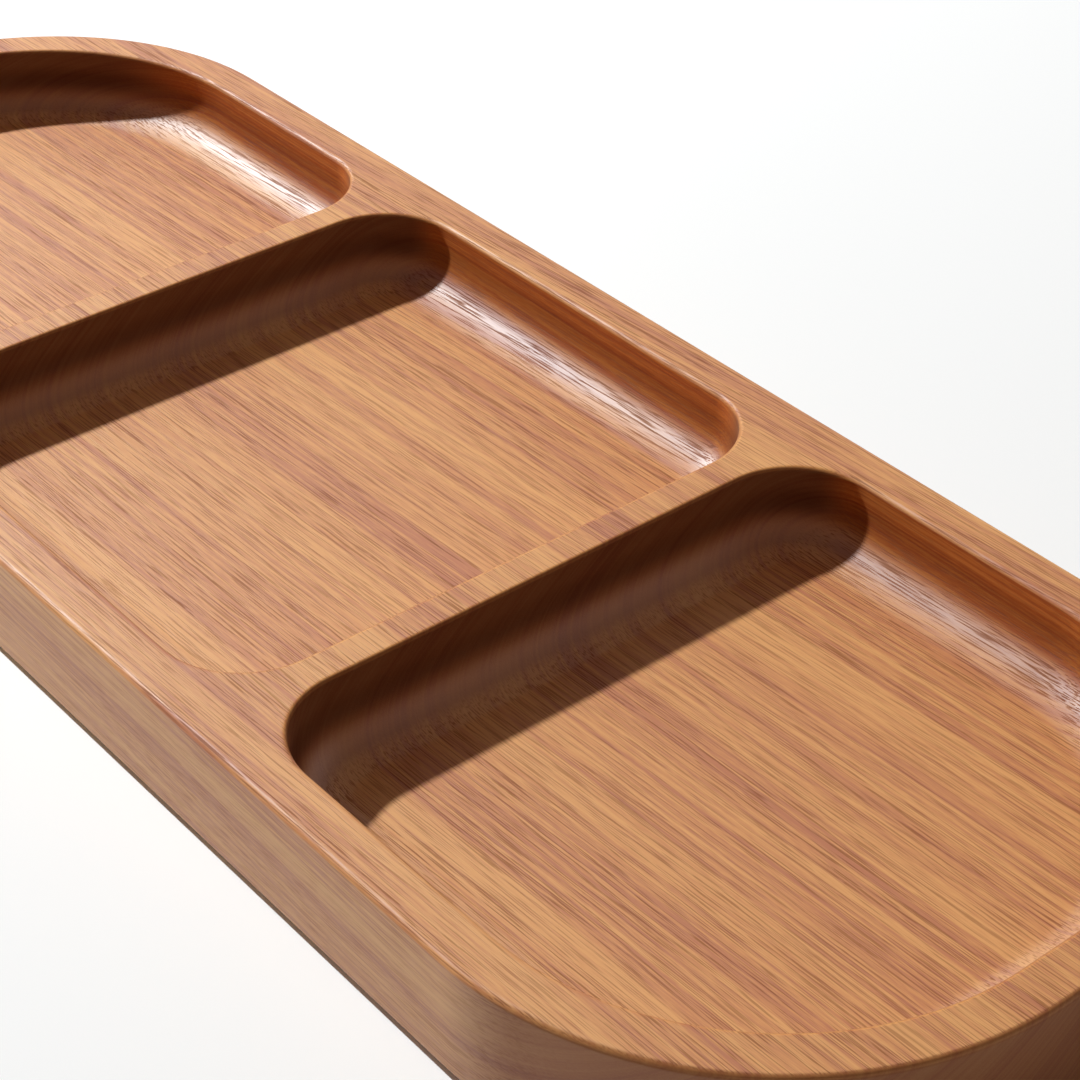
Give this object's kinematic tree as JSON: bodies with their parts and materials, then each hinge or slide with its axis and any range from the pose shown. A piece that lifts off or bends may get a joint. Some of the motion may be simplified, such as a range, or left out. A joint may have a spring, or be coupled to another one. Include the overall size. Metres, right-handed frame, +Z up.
{
  "type": "divided serving tray",
  "caption": "Long hardwood serving tray with round ends, parted by cross dividers into routed pockets with coved floors, on low non-slip feet.",
  "frame": {"origin": "on the table under the middle of the tray, in the plane of the feet", "axes": "+X along the tray, +Y across it towards the back, +Z up"},
  "size_m": [0.404, 0.15, 0.025],
  "materials": {
    "hardwood": "warm brown hardwood with straight grain under a clear satin oil finish",
    "silicone": "matte soft dark silicone"
  },
  "bodies": {
    "root": {"front_rim_stave": "hardwood", "front_floor_stave": "hardwood", "centre_stave": "hardwood", "back_floor_stave": "hardwood", "back_rim_stave": "hardwood", "foot_front_left": "silicone", "foot_front_right": "silicone", "foot_back_left": "silicone", "foot_back_right": "silicone"}
  },
  "joints": []
}
